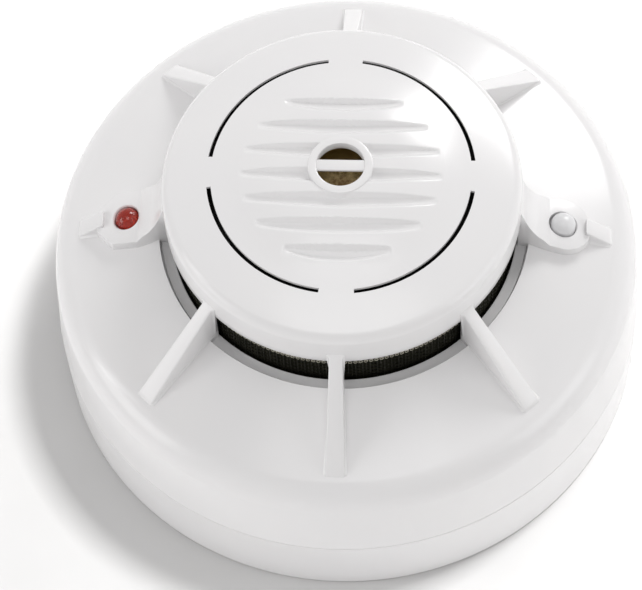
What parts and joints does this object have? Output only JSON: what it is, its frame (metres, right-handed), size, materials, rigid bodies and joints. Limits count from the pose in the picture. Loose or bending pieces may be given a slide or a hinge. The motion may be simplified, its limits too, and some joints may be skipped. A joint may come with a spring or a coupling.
{
  "type": "heat detector",
  "caption": "Round ceiling alarm head with heat and smoke sensing behind a finned vent, a sounder grille, a test button, a lamp and a twist-lock base",
  "frame": {"origin": "centre of the mounting face, on the body's axis", "axes": "+Z out of the ceiling or wall into the room, +X towards the test button, -X towards the status lamp"},
  "size_m": [0.12, 0.12, 0.0655],
  "materials": {
    "white_abs": "glossy moulded white, faintly warm",
    "chassis_abs": "satin moulded white",
    "button_abs": "glossy moulded off-white",
    "screen_mesh": "blackened fine wire mesh with a dark olive cast",
    "black_plastic": "matt black",
    "ir_lens": "clear blue epoxy",
    "dark_lens": "dark filter epoxy",
    "thermistor_coat": "brown glass bead",
    "brass": "rolled, slightly dull",
    "ceramic": "silvered ceramic",
    "red_sleeve": "soft wire sleeve",
    "black_sleeve": "soft wire sleeve",
    "red_lens": "clear red epoxy",
    "tinned_metal": "tinned",
    "screw_steel": "zinc plated",
    "board_laminate": "green solder mask",
    "chip_epoxy": "moulded epoxy",
    "capacitor_sleeve": "shrunk sleeve",
    "battery_jacket": "printed metal jacket without any marking"
  },
  "bodies": {
    "base": {"mounting_base": "white_abs"},
    "head": {"cover": "white_abs", "rear_chassis": "chassis_abs", "insect_screen": "screen_mesh", "chamber_base": "black_plastic", "labyrinth": "black_plastic", "ir_emitter": "ir_lens", "photodiode": "dark_lens", "thermistors": "thermistor_coat", "sounder_housing": "black_plastic", "piezo_plate": "brass", "piezo_ceramic": "ceramic", "sounder_wire_red": "red_sleeve", "sounder_wire_black": "black_sleeve", "status_lamp": "red_lens", "lamp_leads": "tinned_metal", "lamp_spacer": "chassis_abs", "tact_switch": "black_plastic", "circuit_board": "board_laminate", "controller_chip": "chip_epoxy", "driver_chip": "chip_epoxy", "capacitors": "capacitor_sleeve", "sounder_coil": "chip_epoxy", "resistors": "chip_epoxy", "battery_contacts": "tinned_metal", "case_screws": "screw_steel", "board_screws": "screw_steel"},
    "test_button": {"test_button": "button_abs", "switch_plunger": "black_plastic"},
    "battery": {"battery": "battery_jacket", "battery_snaps": "tinned_metal"}
  },
  "joints": [
    {"name": "head_twist", "type": "hinge", "parent": "base", "child": "head", "pos_m": [0, 0, 0], "axis": [0, 0, 1], "range_deg": [0, 15]},
    {"name": "test_button_press", "type": "slide", "parent": "head", "child": "test_button", "axis": [0, 0, -1], "range_m": [0, 0.001], "stiffness_N_per_m": 2000, "springref_m": -0.0003},
    {"name": "battery_slide", "type": "slide", "parent": "head", "child": "battery", "axis": [0, 0, -1], "range_m": [0, 0.02]}
  ]
}
